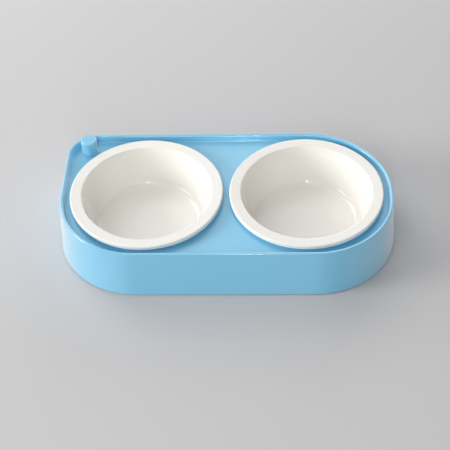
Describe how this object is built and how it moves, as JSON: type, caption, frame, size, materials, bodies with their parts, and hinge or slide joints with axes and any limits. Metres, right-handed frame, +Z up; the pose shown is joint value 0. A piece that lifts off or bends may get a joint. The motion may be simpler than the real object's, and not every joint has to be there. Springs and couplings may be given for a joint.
{
  "type": "double pet bowl",
  "caption": "Low moulded tray with a square back corner and a round post, holding white lift-out bowls side by side on soft feet.",
  "frame": {"origin": "middle of the tray's outline, on the plane that the feet stand on", "axes": "+X to the right along the two bowls, +Y to the back, +Z up"},
  "size_m": [0.309, 0.164, 0.0588],
  "materials": {
    "tray_plastic": "smooth sky-blue moulded plastic, glossy",
    "bowl_glaze": "opaque glazed ceramic, warm white",
    "foot_rubber": "matt soft rubber"
  },
  "bodies": {
    "tray": {"tray_shell": "tray_plastic", "foot_front_left": "foot_rubber", "foot_front_right": "foot_rubber", "foot_back_left": "foot_rubber", "foot_back_right": "foot_rubber"},
    "left_bowl": {"bowl_left": "bowl_glaze"},
    "right_bowl": {"bowl_right": "bowl_glaze"}
  },
  "joints": [
    {"name": "left_bowl_lift", "type": "slide", "parent": "tray", "child": "left_bowl", "axis": [0, 0, 1], "range_m": [0, 0.06]},
    {"name": "right_bowl_lift", "type": "slide", "parent": "tray", "child": "right_bowl", "axis": [0, 0, 1], "range_m": [0, 0.06]}
  ]
}
